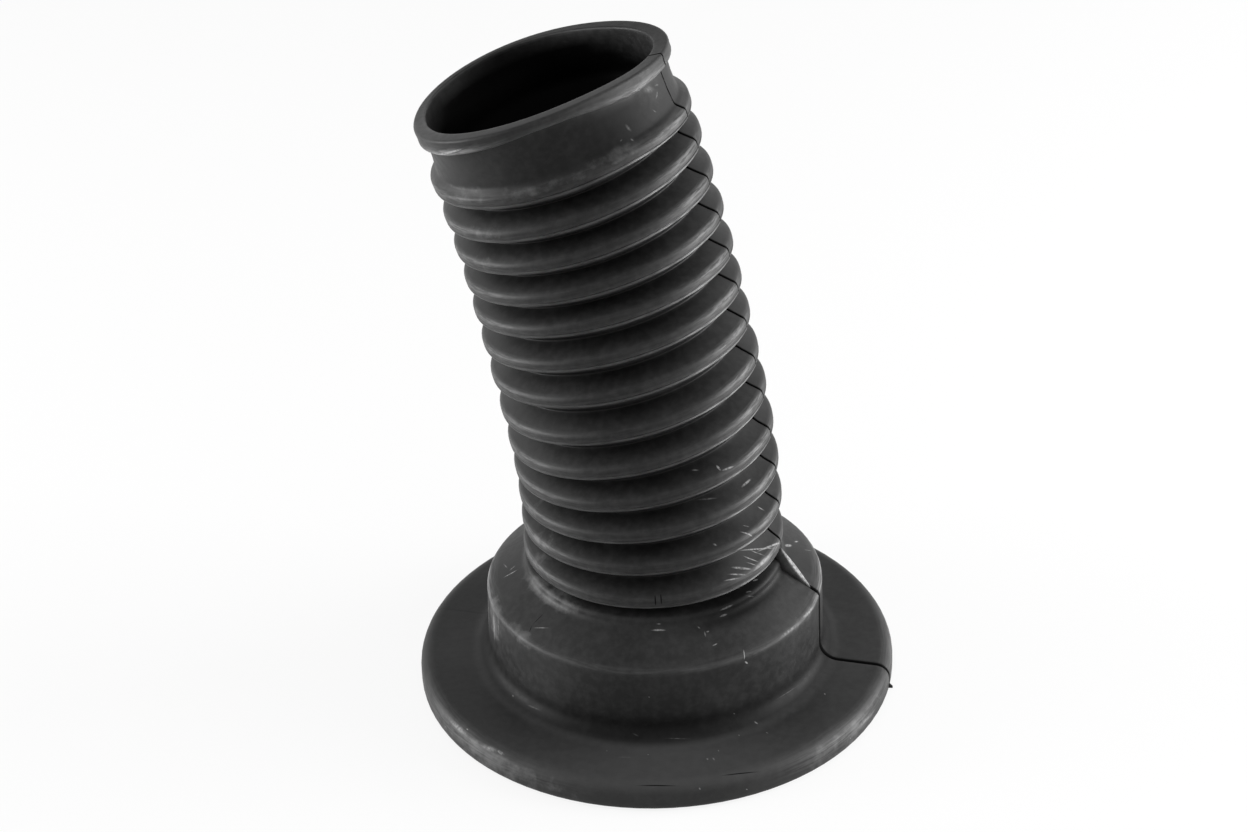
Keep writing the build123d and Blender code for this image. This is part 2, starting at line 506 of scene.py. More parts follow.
@dataclass(frozen=True)
class MouthSet:
    """How far the soft mouth has gone out of round, as waves round the lip in mm.

    Each pair holds a wave's cosine and sine parts, with one, two or three crests round the lip. The
    droops are how far the lip's foot and the collar's foot hang at the listed turns in degrees, and
    the bore is wider by the listed amounts at its own turns.
    """

    start: float = 126.0
    end: float = 139.5
    shift: tuple[float, float] = (-1.6, -0.23)
    oval: tuple[float, float] = (-0.55, -0.29)
    egg: tuple[float, float] = (1.66, 0.59)
    lift: float = 0.4
    tip: tuple[float, float] = (0.2, -2.2)
    warp: tuple[float, float] = (-1.04, 0.65)
    turns: tuple[float, ...] = (-180.0, -130.0, -108.0, -92.0, -75.0, -58.0, -42.0, -12.0, 25.0, 90.0)
    lip_droops: tuple[float, ...] = (-0.9, -0.9, -0.3, 0.7, 0.6, -0.5, -1.1, -0.2, 0.4, 0.0)
    lip_band: Span = Span(134.0, 137.6, 139.2, 141.4)
    foot_droops: tuple[float, ...] = (0.0, 0.0, 0.0, 0.0, 0.0, -0.3, -1.0, -2.2, -2.5, -0.8)
    foot_band: Span = Span(120.5, 125.0, 129.2, 134.0)
    bore_turns: tuple[float, ...] = (-180.0, -150.0, 60.0, 110.0, 150.0)
    bore_widens: tuple[float, ...] = (0.7, 0.0, 0.0, 1.4, 1.5)
    bore_heights: tuple[float, float] = (132.0, 139.0)
    bore_radii: tuple[float, float] = (32.5, 34.5)

    @staticmethod
    def wave(size: tuple[float, float], crests: int, azimuth: np.ndarray) -> np.ndarray:
        """A wave round the lip with this many crests."""
        return size[0] * np.cos(crests * azimuth) + size[1] * np.sin(crests * azimuth)

    def apply(
        self, radius: np.ndarray, along: np.ndarray, azimuth: np.ndarray, outside: np.ndarray
    ) -> tuple[np.ndarray, np.ndarray]:
        """Radius and height with the mouth's set added.

        Args:
            radius: Distance from the axis in mm.
            along: Height along the axis in mm.
            azimuth: Angle round the axis in radians.
            outside: 1 on the outside of the wall and 0 inside.

        Returns:
            The new radius and height.
        """
        degrees = np.degrees(azimuth)
        share = smooth_step(along, self.start, self.end)
        waves = [self.wave(s, n + 1, azimuth) for n, s in enumerate((self.shift, self.oval, self.egg))]
        rise = self.lift + self.wave(self.tip, 1, azimuth) + self.wave(self.warp, 2, azimuth)
        bore = smooth_step(along, *self.bore_heights) * (1 - smooth_step(radius, *self.bore_radii))
        widened = bore * np.interp(degrees, self.bore_turns, self.bore_widens, period=360.0)
        droop: Any = 0.0
        for droops, band in ((self.lip_droops, self.lip_band), (self.foot_droops, self.foot_band)):
            hang = np.interp(degrees, self.turns, droops, period=360.0)
            droop = droop + band.share(along) * outside * hang
        return radius + widened + sum(waves) * share, along + rise * share + droop


@dataclass(frozen=True)
class PartingLine:
    """The two lines where the mould's halves met, opposite each other.

    Widths are how wide a line is at the listed heights along the axis, as shares of its offsets. Darks paint
    the shade of each line's groove into the colour.
    """

    offsets: tuple[float, ...] = (-1.1, -0.6, -0.34, -0.13, 0.13, 0.34, 0.6, 1.1)
    depths: tuple[float, ...] = (0.0, 0.0, 0.1, 0.65, 0.65, 0.1, 0.0, 0.0)
    # How much painted shade each column of the line's groove gets.
    darks: tuple[float, ...] = (0.0, 0.1, 0.85, 1.0, 1.0, 0.85, 0.1, 0.0)
    heights: tuple[float, ...] = (-38.0, -35.0, -18.0, -15.5, -8.0, -3.0)
    widths: tuple[float, ...] = (1.3, 2.4, 2.4, 1.3, 1.3, 0.6)
    far_share: float = 0.04
    slip: float = 0.3
    slip_from: float = -36.0
    slip_to: float = -12.0
    slip_top: float = 136.0
    clear: float = 3.2
    plain_columns: int = 46

    def columns(self) -> tuple[np.ndarray, ...]:
        """Columns of the skin, from one line round to itself.

        Returns:
            Base angle in radians, offset in mm along the skin, groove depth in mm, darkness, and
            the back half's share, which fades from 1 at the first line to 0 at the other.
        """
        gap = math.radians(self.clear)
        rows: list[tuple[float, ...]] = []
        for half in range(2):
            start = math.radians(PARTING_AZIMUTH) + half * math.pi
            share = self.far_share if half else 1.0
            for offset, depth, dark in zip(self.offsets, self.depths, self.darks):
                rows.append((start, offset, depth * share, dark * share, float(offset > 0 and not half)))
            for plain in np.linspace(0.0, 1.0, self.plain_columns):
                angle = start + gap + (math.pi - 2 * gap) * plain
                rows.append((angle, 0.0, 0.0, 0.0, 0.0 if half else 1.0 - plain))
        return tuple(np.array(rows).T)

    def slipped(self, along: np.ndarray, back: np.ndarray, outside: np.ndarray) -> np.ndarray:
        """How far up the axis the back half's skin has slipped, in mm."""
        share = smooth_step(along, self.slip_from, self.slip_to)
        return self.slip * share * back * outside * (along < self.slip_top)


def linear(colour: str) -> tuple[float, float, float, float]:
    """Turns an sRGB hex colour such as #2a2a2a into linear RGBA."""
    parts = [int(colour[k : k + 2], 16) / 255 for k in (1, 3, 5)]
    return (*(p / 12.92 if p <= 0.04045 else ((p + 0.055) / 1.055) ** 2.4 for p in parts), 1.0)


def add_node(
    tree: bpy.types.NodeTree,
    kind: str,
    settings: dict[str, Any] | None = None,
    inputs: dict[Any, Any] | None = None,
) -> bpy.types.Node:
    """Adds one node with its settings and links.

    Args:
        tree: The material's or the world's node tree.
        kind: The node's type name after "ShaderNode".
        settings: The node's own properties by name.
        inputs: Socket name or number to a value, or to the socket that feeds it.

    Returns:
        The new node.
    """
    node = tree.nodes.new("ShaderNode" + kind)
    for name, value in (settings or {}).items():
        setattr(node, name, value)
    for name, value in (inputs or {}).items():
        if isinstance(value, bpy.types.NodeSocket):
            tree.links.new(value, node.inputs[name])
        else:
            node.inputs[name].default_value = value
    return node


def add_piece(name: str, points: Any, faces: Any, mesh_name: str = "") -> bpy.types.Object:
    """Adds a piece to the scene.

    Args:
        name: The piece's name.
        points: Its corners in metres.
        faces: The corners of each face, by number.
        mesh_name: The mesh's own name, where it has one.

    Returns:
        The piece.
    """
    mesh = bpy.data.meshes.new(mesh_name or name)
    mesh.from_pydata(points, [], faces)
    made = bpy.data.objects.new(name, mesh)
    bpy.context.scene.collection.objects.link(made)
    return made


def add_tag(mesh: bpy.types.Mesh, name: str, values: np.ndarray) -> None:
    """Writes a number for each point of a mesh, for its material to read."""
    layer = mesh.attributes.new(name, "FLOAT", "POINT")
    layer.data.foreach_set("value", np.ascontiguousarray(values, np.float32).ravel())


@dataclass(frozen=True)
class Stroke:
    """A pale scuffed spot, chip or painted highlight, or a dark crack, nick or line of painted shade: its
    middle, length and width in mm, and how it lies, in degrees.

    Facing is the azimuth the skin looks to there, lean how far it looks up, and slant turns the
    stroke from level (0) to straight up the skin (90).
    """

    middle: tuple[float, float, float]
    length: float
    width: float
    facing: float
    lean: float = 0.0
    slant: float = 0.0
    strength: float = 1.0
    thickness: float = 2.4

    def ball(self) -> dict[str, Any]:
        """The long thin ball that the stroke fills.

        Returns:
            Its place, turn and size in metres, by the names of a mapping's sockets.
        """
        facing, lean, slant = (math.radians(v) for v in (self.facing, self.lean, self.slant))
        level = Vector((-math.sin(facing), math.cos(facing), 0.0))
        spoke = Vector((math.cos(facing), math.sin(facing), 0.0))
        rise = Vector((0.0, 0.0, math.cos(lean))) - spoke * math.sin(lean)
        ahead = level * math.cos(slant) + rise * math.sin(slant)
        across = rise * math.cos(slant) - level * math.sin(slant)
        turn = Matrix((ahead, across, ahead.cross(across))).transposed().to_euler()
        size = [part * MM / 2 for part in (self.length, self.width, self.thickness)]
        return {"Location": [part * MM for part in self.middle], "Rotation": turn, "Scale": size}


@dataclass(frozen=True)
class MouldedRubber:
    """Moulded EPDM rubber, carbon black filled, straight from a satin steel mould.

    The eye sees a near-black matt skin with a faint sheen at grazing angles, a greyish wax bloom in
    soft clouds, and pale edges where the bloom and the skin have been scraped. The colour also holds
    painted highlights where the side lamps glint on edges, painted light on the flange's front, and
    painted shade inside the mouth, in valleys and corners and along the parting line.
    """

    body_colour: str = "#181818"
    # Besides the rubber's own tones, the pale colours also paint highlights and light, and the two darkest
    # paint shade.
    bloom_and_light_colour: str = "#474747"
    wear_and_glint_colour: str = "#6e6e6e"
    scuff_and_highlight_colour: str = "#a2a2a2"
    seam_shade_colour: str = "#040404"
    painted_shade_colour: str = "#060606"
    ior: float = 1.5
    specular_level: float = 0.16
    roughness: float = 0.46
    roughness_spread: float = 0.08
    seam_roughness: float = 0.3
    seam_dullness: float = 0.9
    mottle: float = 0.17
    cloud_by_tag: float = 0.45
    chafe_and_glint: float = 0.4
    polish_and_glint: float = 0.7
    scuff_and_highlight: float = 0.85
    flange_light_paint: float = 0.62
    wave_height: float = 3.0
    bump: float = 0.35
    bump_depth: float = 0.03
    streak_roughness: float = 0.6
    tags: tuple[str, ...] = ("wear_and_glint", "edge_wear_and_glint", "seam_shade", "bloom_and_highlight", "inner", "painted_flange_light")
    # Name, size in mm, detail and roughness of each noise in the skin.
    noises: tuple[tuple[str, float, float, float], ...] = (
        ("bloom_noise", 22.0, 4.0, 0.55),
        ("mottle_noise", 2.2, 4.0, 0.55),
        ("cloud_noise", 4.5, 4.0, 0.6),
        ("break_noise", 0.8, 4.0, 0.55),
        ("grain", 0.45, 2.0, 0.55),
        ("wave", 7.0, 2.0, 0.55),
    )
    # Name, length round the wall and width up it in mm, and detail of each run of fine streaks.
    streaks: tuple[tuple[str, float, float, float], ...] = (
        ("chafe_streaks", 7.0, 0.9, 4.0),
        ("polish_streaks", 6.0, 0.6, 5.0),
    )

    def steps(self) -> tuple[tuple[Any, ...], ...]:
        """The sums that lead to each coat, as a name, an operation and its parts.

        Returns:
            Rows whose parts are numbers or names of earlier steps. RANGE eases its first part from
            between its next two to between its last two.
        """
        rougher = self.roughness + self.roughness_spread
        return (
            ("bloom", "RANGE", "bloom_noise", 0.38, 0.75, 0.05, 0.24),
            ("mottle", "RANGE", "mottle_noise", 0.35, 0.7, 0.0, self.mottle),
            ("haze", "ADD", "bloom", "mottle"),
            # The tagged spots are bloom, and painted highlights on the rim, hub and crests at the sides.
            ("tagged_cloud", "MULTIPLY", "bloom_and_highlight", self.cloud_by_tag),
            ("cloud", "ADD", "cloud_noise", "tagged_cloud"),
            ("bloom_and_highlight_cloud", "RANGE", "cloud", 0.72, 1.08, 0.0, 0.5),
            # Edge wear, with painted highlights where the lamps glint on the edges.
            ("chafe_breaks", "RANGE", "chafe_streaks", 0.3, 0.68, 0.35, 1.0),
            ("chafed_and_glinting", "MULTIPLY", "wear_and_glint", "chafe_breaks"),
            ("chafe_and_glint", "MULTIPLY", "chafed_and_glinting", self.chafe_and_glint),
            # Edge wear, with painted highlights where the side lamps glint.
            ("polish_breaks", "RANGE", "polish_streaks", 0.36, 0.62, 0.2, 1.0),
            ("worn_and_glinting", "MULTIPLY", "edge_wear_and_glint", "polish_breaks"),
            ("polish_and_glint", "MULTIPLY", "worn_and_glinting", self.polish_and_glint),
            # Scuffs, and painted highlights such as the fin's bright face.
            ("stroke_marks", "RANGE", "scuffs_and_highlights", 0.0, 0.5, 0.0, 1.0),
            ("stroke_breaks", "RANGE", "break_noise", 0.32, 0.6, 0.25, 1.0),
            ("broken", "MULTIPLY", "stroke_marks", "stroke_breaks"),
            ("scuff_and_highlight", "MULTIPLY", "broken", self.scuff_and_highlight),
            # Painted light on the flange's front.
            ("flange_light_paint", "MULTIPLY", "painted_flange_light", self.flange_light_paint),
            # Painted shade along the parting line and in two lines on the rim's front, with dark splits and
            # nicks.
            ("crack_and_shade_marks", "RANGE", "cracks_and_shade_lines", 0.0, 0.5, 0.0, 1.0),
            ("dark", "MAXIMUM", "seam_shade", "crack_and_shade_marks"),
            ("smooth", "RANGE", "mottle", 0.0, self.mottle, self.roughness, rougher),
            ("rough_seam", "MULTIPLY", "dark", self.seam_roughness),
            ("roughness", "ADD", "smooth", "rough_seam"),
            ("unlit", "MAXIMUM", "inner", "dark"),
            ("dullness", "MULTIPLY", "unlit", self.seam_dullness),
            ("gloss", "SUBTRACT", 1.0, "dullness"),
            ("shine", "MULTIPLY", "gloss", self.specular_level),
            ("swell", "MULTIPLY", "wave", self.wave_height),
            ("height", "ADD", "grain", "swell"),
        )

    def coats(self) -> tuple[tuple[str, str], ...]:
        """The coats over the body colour in order, as the step that spreads each and its colour."""
        return (
            ("haze", self.bloom_and_light_colour),
            # Spots of bloom and painted highlight, then edge wear with painted highlights, then scuffs and
            # painted highlights.
            ("bloom_and_highlight_cloud", self.wear_and_glint_colour),
            ("chafe_and_glint", self.wear_and_glint_colour),
            ("polish_and_glint", self.scuff_and_highlight_colour),
            ("scuff_and_highlight", self.scuff_and_highlight_colour),
            # Painted light on the flange's front.
            ("flange_light_paint", self.bloom_and_light_colour),
            # Painted shade inside and in hollows, then painted shade along the parting line and in lines on
            # the rim, with dark splits.
            ("inner", self.painted_shade_colour),
            ("dark", self.seam_shade_colour),
        )

    def marked(self, tree: bpy.types.NodeTree, place: bpy.types.NodeSocket, marks: Sequence[Stroke]) -> Any:
        """Finds the marks on the skin.

        Args:
            tree: The material's node tree.
            place: The socket with the place on the skin.
            marks: The marks.

        Returns:
            A socket that fades from each mark's strength in its middle to 0 at its ends.
        """
        most: Any = 0.0
        for mark in marks:
            ball = {"Vector": place, **mark.ball()}
            local = add_node(tree, "Mapping", {"vector_type": "TEXTURE"}, ball).outputs[0]
            spot = add_node(tree, "TexGradient", {"gradient_type": "SPHERICAL"}, {"Vector": local})
            parts = {0: spot.outputs[1], 1: mark.strength}
            strong = add_node(tree, "Math", {"operation": "MULTIPLY"}, parts).outputs[0]
            most = add_node(tree, "Math", {"operation": "MAXIMUM"}, {0: most, 1: strong}).outputs[0]
        return most

    def make(self, scuffs_and_highlights: Sequence[Stroke], cracks_and_shade_lines: Sequence[Stroke]) -> bpy.types.Material:
        """Builds the material.

        Args:
            scuffs_and_highlights: The pale scuffs and chips on the skin, and some painted highlights.
            cracks_and_shade_lines: The dark splits and nicks in the rubber, and some lines of painted shade.

        Returns:
            The material.
        """
        made = bpy.data.materials.new("Moulded_EPDM_Rubber")
        made.use_nodes = True
        tree = made.node_tree
        tree.nodes.clear()
        place = add_node(tree, "TexCoord").outputs["Object"]
        flat = add_node(tree, "UVMap", {"uv_map": SKIN_MAP}).outputs[0]
        found: dict[Any, Any] = {}
        for name, marks in (("scuffs_and_highlights", scuffs_and_highlights), ("cracks_and_shade_lines", cracks_and_shade_lines)):
            found[name] = self.marked(tree, place, marks)
        for name in self.tags:
            found[name] = add_node(tree, "Attribute", {"attribute_name": name}).outputs["Fac"]
        for name, size, detail, rough in self.noises:
            sizes = {"Vector": place, "Scale": 1 / (size * MM), "Detail": detail, "Roughness": rough}
            found[name] = add_node(tree, "TexNoise", None, sizes).outputs["Fac"]
        for name, long, wide, detail in self.streaks:
            stretch = {"Vector": flat, "Scale": (1 / long, 1 / wide, 1.0)}
            drawn = add_node(tree, "Mapping", None, stretch).outputs[0]
            sizes = {"Vector": drawn, "Scale": 1.0, "Detail": detail, "Roughness": self.streak_roughness}
            found[name] = add_node(tree, "TexNoise", {"noise_dimensions": "2D"}, sizes).outputs["Fac"]
        for name, operation, *parts in self.steps():
            kind, settings = "Math", {"operation": operation}
            if operation == "RANGE":
                kind, settings = "MapRange", {"interpolation_type": "SMOOTHSTEP"}
            inputs = {k: found.get(part, part) for k, part in enumerate(parts)}
            found[name] = add_node(tree, kind, settings, inputs).outputs[0]
        colour: Any = linear(self.body_colour)
        for share, paint in self.coats():
            sockets = {"Factor": found[share], 6: colour, 7: linear(paint)}
            colour = add_node(tree, "Mix", {"data_type": "RGBA"}, sockets).outputs[2]
        relief = {"Strength": self.bump, "Distance": self.bump_depth * MM, "Height": found["height"]}
        surface = {
            "Base Color": colour,
            "Roughness": found["roughness"],
            "IOR": self.ior,
            "Specular IOR Level": found["shine"],
            "Normal": add_node(tree, "Bump", None, relief).outputs[0],
        }
        shader = add_node(tree, "BsdfPrincipled", None, surface)
        add_node(tree, "OutputMaterial", None, {"Surface": shader.outputs[0]})
        return made


@dataclass
class Web:
    """The thin fin across the first valley, where the mould parted, thickest halfway down.

    Its ends are radius and height over the seat. The profile is its seven points across, as shares
    of the half thickness, and how far each lies under the fin's edge, None for its full depth.
    """

    head: tuple[float, float] = (37.45, 44.75)
    foot: tuple[float, float] = (46.3, 32.45)
    end_half: float = 0.35
    middle_half: float = 1.1
    deep: float = 6.0
    shallow: float = 1.3
    stations: int = 17
    shift: float = 0.45
    profile: tuple[tuple[float, float | None], ...] = (
        (-1.0, None),
        (-1.0, 0.4),
        (-0.65, 0.1),
        (0.0, 0.0),
        (0.65, 0.1),
        (1.0, 0.4),
        (1.0, None),
    )
    # Paleness painted on the fin's points: wear, a painted highlight along its edge, and painted light on
    # faces that lie in shade.
    wear_and_glint: tuple[float, ...] = (1.0, 0.8, 1.0, 1.0, 1.0, 0.8, 1.0)
    bloom_and_highlight: tuple[float, ...] = (0.9,) * 7

    def build(self) -> bpy.types.Object:
        """Makes the fin as one closed mesh, with its inner edge sunk in the moulding.

        Returns:
            The fin.
        """
        head, foot = np.array(self.head), np.array(self.foot)
        ahead = (foot - head) / np.linalg.norm(foot - head)
        inward = np.array([ahead[1], -ahead[0]])
        turn = math.radians(PARTING_AZIMUTH)
        out = np.array([math.cos(turn), math.sin(turn), 0.0])
        side = np.array([-math.sin(turn), math.cos(turn), 0.0])
        points: list[list[float]] = []
        for share in np.linspace(0.0, 1.0, self.stations):
            half = self.end_half + (self.middle_half - self.end_half) * math.sin(math.pi * share)
            depth = self.deep + (self.shallow - self.deep) * share**2
            for across, down in self.profile:
                radius, height = head + (foot - head) * share + inward * (depth if down is None else down)
                place = out * radius + side * (across * half + self.shift)
                points.append([place[0] * MM, place[1] * MM, height * MM])
        loop = len(self.profile)
        faces: list[list[int]] = []
        for near in range(0, (self.stations - 1) * loop, loop):
            for k in range(loop):
                after = (k + 1) % loop
                faces.append([near + k, near + after, near + loop + after, near + loop + k])
        faces.append(list(range(loop))[::-1])
        faces.append([(self.stations - 1) * loop + k for k in range(loop)])
        made = add_piece("parting_web", points, faces)
        made.data.shade_smooth()
        add_tag(made.data, "wear_and_glint", np.tile(self.wear_and_glint, self.stations))
        add_tag(made.data, "bloom_and_highlight", np.tile(self.bloom_and_highlight, self.stations))
        return made


@dataclass
class RimTag:
    """A scrap of flash left standing on the rim's lower edge at the parting line."""

    root: tuple[float, float] = (69.2, 1.6)
    tip: tuple[float, float] = (71.0, 0.9)
    root_half: tuple[float, float] = (0.35, 1.1)
    tip_half: tuple[float, float] = (0.15, 0.3)

    def build(self) -> bpy.types.Object:
        """Makes the scrap as one closed mesh.

        Returns:
            The scrap.
        """
        turn = Matrix.Rotation(math.radians(PARTING_AZIMUTH), 4, "Z")
        points: list[Vector] = []
        for (radius, height), (half, tall) in ((self.root, self.root_half), (self.tip, self.tip_half)):
            for across, up in ((-half, -tall), (half, -tall), (half, tall), (-half, tall)):
                points.append(turn @ Vector((radius, across, height + up)) * MM)
        faces = [(3, 2, 1, 0), (4, 5, 6, 7), (0, 1, 5, 4), (1, 2, 6, 5), (2, 3, 7, 6), (3, 0, 4, 7)]
        return add_piece("rim_tag", points, faces)


# Spots of chalky bloom, and of painted highlight where the side lamps light the rim's side walls, the hub's
# edge and the crests at the left: middle azimuth, half width in degrees, lowest and highest height along the
# axis, and strength.
BLOOM_AND_HIGHLIGHT_PATCHES = (
    (-134.0, 30.0, 125.6, 128.6, 0.6),
    (-96.0, 22.0, 125.8, 127.4, 0.9),
    (-62.0, 14.0, 126.2, 128.2, 0.9),
    (-132.0, 13.0, 114.6, 117.2, 0.8),
    (-136.0, 11.0, 104.0, 106.8, 0.6),
    (-150.0, 12.0, 20.9, 25.5, 0.6),
    (-150.0, 13.0, 10.6, 14.5, 0.7),
    (-150.0, 16.0, 0.2, 3.2, 0.7),
    (-38.0, 14.0, 130.5, 136.5, 0.5),
    (-54.0, 20.0, 128.6, 136.0, 0.3),
    # The next two rows paint highlights on the rim's side walls at the left and right.
    (-136.0, 28.0, -46.5, -39.5, 0.95),
    (-40.0, 16.0, -46.5, -39.5, 0.9),
    (-145.0, 22.0, -8.2, -4.6, 1.0),
    (-142.0, 16.0, -17.5, -14.5, 0.8),
    (-163.0, 10.0, -26.0, -14.5, 1.0),
    (-31.0, 15.0, -18.0, -14.7, 0.65),
)

# Scuffs and chips, and painted highlights such as the fin's bright face and the lip's lower edge at the left:
# place (three numbers), length, width, facing, lean, slant and strength.
SCUFFS_AND_HIGHLIGHTS = (
    # The first row paints the fin's bright face, a painted highlight.
    (40.6, -10.8, 38.6, 16, 3.4, -15.5, 35.7, 90, 1), (33.4, -14.4, 48.7, 15.8, 0.7, -24, 54, -22, 1),
    (28.9, -18.4, 50.3, 16.3, 0.5, -33, 44, -29, 0.95), (28.8, -19.6, 49.8, 6.1, 0.4, -36, 52, -52, 0.6),
    (26.9, -22.4, 49.7, 5.9, 0.5, -42, 52, -50, 0.75), (27, -23.7, 48.9, 4.2, 0.4, -42, 52, -47, 0.6),
    (24, -26.1, 49.2, 7.2, 0.9, -48, 52, -31, 1), (22.8, -28.2, 48.6, 7.2, 0.6, -51, 54, -26, 0.8),
    (21.1, -30, 48.2, 6.4, 0.6, -57, 54, -11, 0.55), (30.5, -21.2, 47.9, 11.8, 1.7, -35, 27, 2, 0.5),
    (28.2, -20.8, 41.4, 2.3, 0.6, -38, 70, -19, 1), (26, -25.7, 40.9, 2.3, 0.6, -44, 70, -21, 0.9),
    (26.3, -26.7, 40, 4.9, 0.5, -47, 3, -28, 0.45), (19.6, -32, 40.1, 5.4, 0.7, -58, 11, 2, 1),
    (18.5, -33, 38.2, 2.8, 0.7, -61, 47, 0, 1), (39.4, 2.4, 37.4, 4.6, 1.4, 4, 56, -48, 0.8),
    (42.2, 7.8, 35.1, 3.4, 0.7, 10, 56, -48, 0.8), (45.6, 6.1, 33, 5.2, 0.4, 7, 56, -62, 0.45),
    (0.2, -38.4, 37.8, 4.7, 0.7, -91, 56, -1, 0.75), (0.3, -37.6, 39.3, 1.9, 0.4, -91, 3, -3, 0.5),
    (11.5, -37.3, 37.4, 1.4, 0.6, -73, 56, -53, 0.4), (13.1, -38.7, 36.2, 2.4, 0.6, -70, 56, 84, 0.3),
    (13.9, -38, 36.5, 1.1, 0.6, -70, 56, 2, 0.55), (15.7, -41, 34.1, 2, 0.5, -70, 56, 12, 0.55),
    (23.8, -42.1, 31.2, 3.6, 0.4, -61, 47, 71, 0.85), (24.3, -42.5, 28.7, 1.7, 0.6, -61, 2, -49, 1),
    (-41.7, -4.5, 35.4, 6.1, 0.6, -173, 56, 81, 0.7), (-43.4, 1, 34.5, 5.4, 0.5, 178, 56, 24, 0.35),
    (-41.2, -2.3, 35.9, 2.7, 0.5, -176, 56, -74, 0.5), (-32.6, -29.9, 33.9, 6.5, 0.5, -138, 56, 27, 0.4),
    (2, -12.2, 187.3, 6, 2.6, -34, 17, -12, 0.35), (-0.5, -16.9, 188.8, 5.1, 0.7, -36, -35, -17, 0.6),
    (3.9, -10.5, 185, 2.6, 0.8, -30, 16, 40, 0.6), (4.1, -8.9, 187.1, 2.6, 0.6, -29, 16, -9, 0.5),
    (-3.7, -21.5, 180.9, 3, 1.2, -53, 23, -61, 0.45), (-5.6, -23.8, 178.6, 1, 0.5, -58, 20, 27, 0.5),
    (-2.8, -22.6, 178.3, 1.4, 0.6, -69, 52, -43, 0.5), (3.2, -13.9, 182.1, 2.3, 0.5, -37, 27, -47, 0.4),
    (-3.8, -55.9, 8.3, 0.5, 0.5, -94, 90, 1, 0.9), (12.5, -58.7, 8.3, 0.9, 0.6, -78, 90, -87, 1),
    (14.2, -58.8, 8.3, 1.4, 0.5, -76, 90, -84, 1), (15.7, -55.2, 8.3, 1.1, 0.4, -74, 90, 80, 0.8),
    (-15.2, -53.6, 8.3, 0.6, 0.4, -106, 90, -9, 0.5), (-10.1, -56.7, 8.3, 5.3, 0.3, -100, 90, 5, 0.35),
    (9.9, -68.9, 6.3, 0.8, 0.5, -82, 32, -65, 1), (22.9, -66.1, 3.2, 0.8, 0.4, -70, 0, -42, 0.6),
    (21.8, -48.9, 8.5, 0.7, 0.5, -66, 77, -77, 0.6), (20.7, -44.9, 13, 0.7, 0.5, -64, 6, -56, 0.6),
    (26.8, -44.4, 9.2, 1.7, 0.6, -58, 59, -61, 0.7), (29.7, -48, 8.3, 1, 0.5, -58, 90, -79, 0.7),
    (47.4, -31.1, 8.3, 1, 0.5, -33, 90, 53, 0.7), (53.4, -45.2, 3.2, 1, 0.4, -41, 0, -59, 0.5),
    (-41.8, -29.2, 10, 1.1, 0.6, -144, 41, -4, 0.5), (-3, -49, 22.9, 0.5, 0.4, -94, 2, -39, 0.5),
    (36.5, -34, 11.5, 12.9, 0.4, -44, 24, -3, 0.3), (-35.8, -35.6, 10.5, 6.6, 0.7, -135, 41, 6, 0.35),
    (-7, -49.9, 10.6, 2.5, 0.6, -97, 32, -24, 0.3), (4.5, -51, 9.7, 11.4, 0.4, -85, 50, -7, 0.3),
    (-61.3, -33.9, 3.2, 1, 0.5, -150, 0, -17, 0.6), (-54.6, -41, 7.8, 1.1, 0.5, -144, 58, -3, 0.6),
    # The second row here paints a highlight along the lip's lower edge at the left.
    (-44.7, -51.8, 7.7, 3.4, 0.7, -132, 58, -7, 0.5), (-50, -24.9, 177.1, 20.2, 0.7, -135, -8, 25, 1),
    (17.8, -28.4, 83.7, 2.2, 0.8, -67, 60, -74, 1), (20.4, -28, 83.2, 4.6, 0.7, -57, 52, -1, 0.8),
    (25.8, -20.7, 73.8, 5.6, 0.9, -44, 60, 8, 0.7), (30.1, -16, 62.2, 2.7, 0.6, -31, 58, -73, 0.6),
    (25.7, -25.8, 60.4, 5.3, 0.6, -46, 49, -45, 0.8), (25.5, -23.7, 61.6, 2.4, 0.4, -47, 57, -42, 0.5),
    (16.5, -31.2, 60.7, 1.8, 0.8, -66, 56, -46, 0.4), (11.4, -29.9, 84.2, 2.7, 0.8, -74, 54, -11, 0.4),
    (14.7, -28.4, 73.9, 7.2, 0.8, -68, 53, -9, 0.35), (-49, -4.4, 20.7, 17.2, 2.4, -176, 2, 86, 0.6),
    (-46.8, -14.6, 24.5, 14.6, 2, -161, 2, 88, 0.45), (-45.3, -18.5, 27, 9.9, 0.6, -158, 2, 87, 0.45),
    (37, -31.4, 31, 10.6, 1.3, -41, 47, 1, 0.35), (43.4, -22.1, 30.7, 13.7, 1.4, -26, 29, -7, 0.4),
    (-57.2, -39, 6.7, 12.2, 2.3, -147, 32, 2, 0.35), (-48.1, -49.1, 7.1, 8.2, 2, -135, 45, 9, 0.4),
    (-45, -51.6, 7.4, 2.6, 0.8, -132, 45, -9, 0.8), (58.5, -38.5, 4.2, 18.1, 2.3, -32, 0, -5, 0.3),
)

# Dark splits and nicks, and two lines of painted shade, listed the same way.
CRACKS_AND_SHADE_LINES = (
    (-0.4, -37.3, 47, 4.2, 0.4, -91, 26, -88, 1), (1.2, -37.1, 47.3, 3.9, 0.4, -88, 27, -88, 1),
    (-35.6, -28.8, 32.8, 2.5, 0.3, -141, 56, -67, 0.7), (-33.3, -26.8, 34.9, 5.2, 0.3, -141, 56, 82, 0.7),
    # These two rows paint shade: a dark line under the rim's top round at the front.
    (-1.7, -68.4, 7.5, 13.6, 0.4, -91, 58, -2, 0.7), (21.2, -64.7, 7.7, 13.4, 0.4, -73, 58, -7, 0.7),
)


@dataclass(frozen=True)
class Ring:
    """A ring of edge wear and painted highlight: rise over an edge and half width in mm, the least radius it
    needs, and lobes.
    """

    rise: float
    half: float
    least: float
    lobes: tuple[Lobe, ...]


